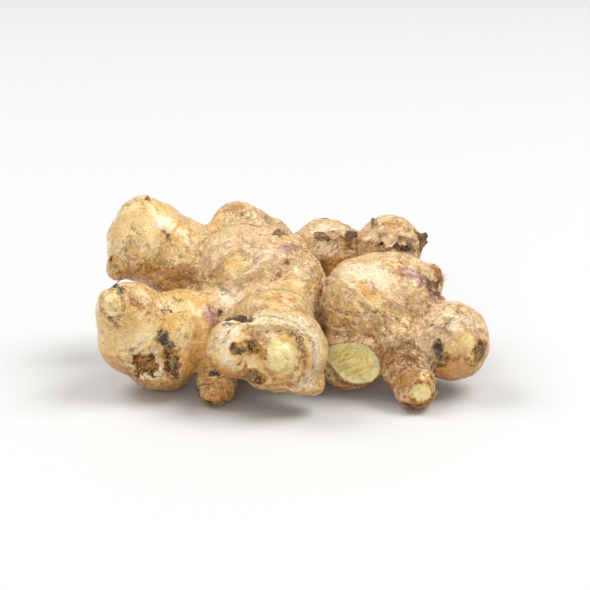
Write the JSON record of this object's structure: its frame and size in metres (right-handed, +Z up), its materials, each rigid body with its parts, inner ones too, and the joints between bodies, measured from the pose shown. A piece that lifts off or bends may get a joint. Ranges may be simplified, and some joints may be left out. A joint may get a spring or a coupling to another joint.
{
  "type": "ginger root",
  "caption": "Fresh ginger rhizome: a hand of knobbly fingers grown out of each other, with old stem scars, dry scales and a knife cut, lying on its lower fingers.",
  "frame": {"origin": "on the surface that the rhizome lies on, under the middle of its box", "axes": "+X along the rhizome's long side, +Y to its back, +Z up"},
  "size_m": [0.1454, 0.0962, 0.0656],
  "materials": {
    "skin": "fresh ginger skin: thin, cream to tan, papery where dry and waxy where pale, with brown scars",
    "dry_scale": "dried scale leaf: dark brown, papery, frayed along its edge",
    "root_fibre": "dry root hairs and torn fibres: brown and dull"
  },
  "bodies": {
    "root": {"rhizome": "skin"}
  },
  "joints": []
}
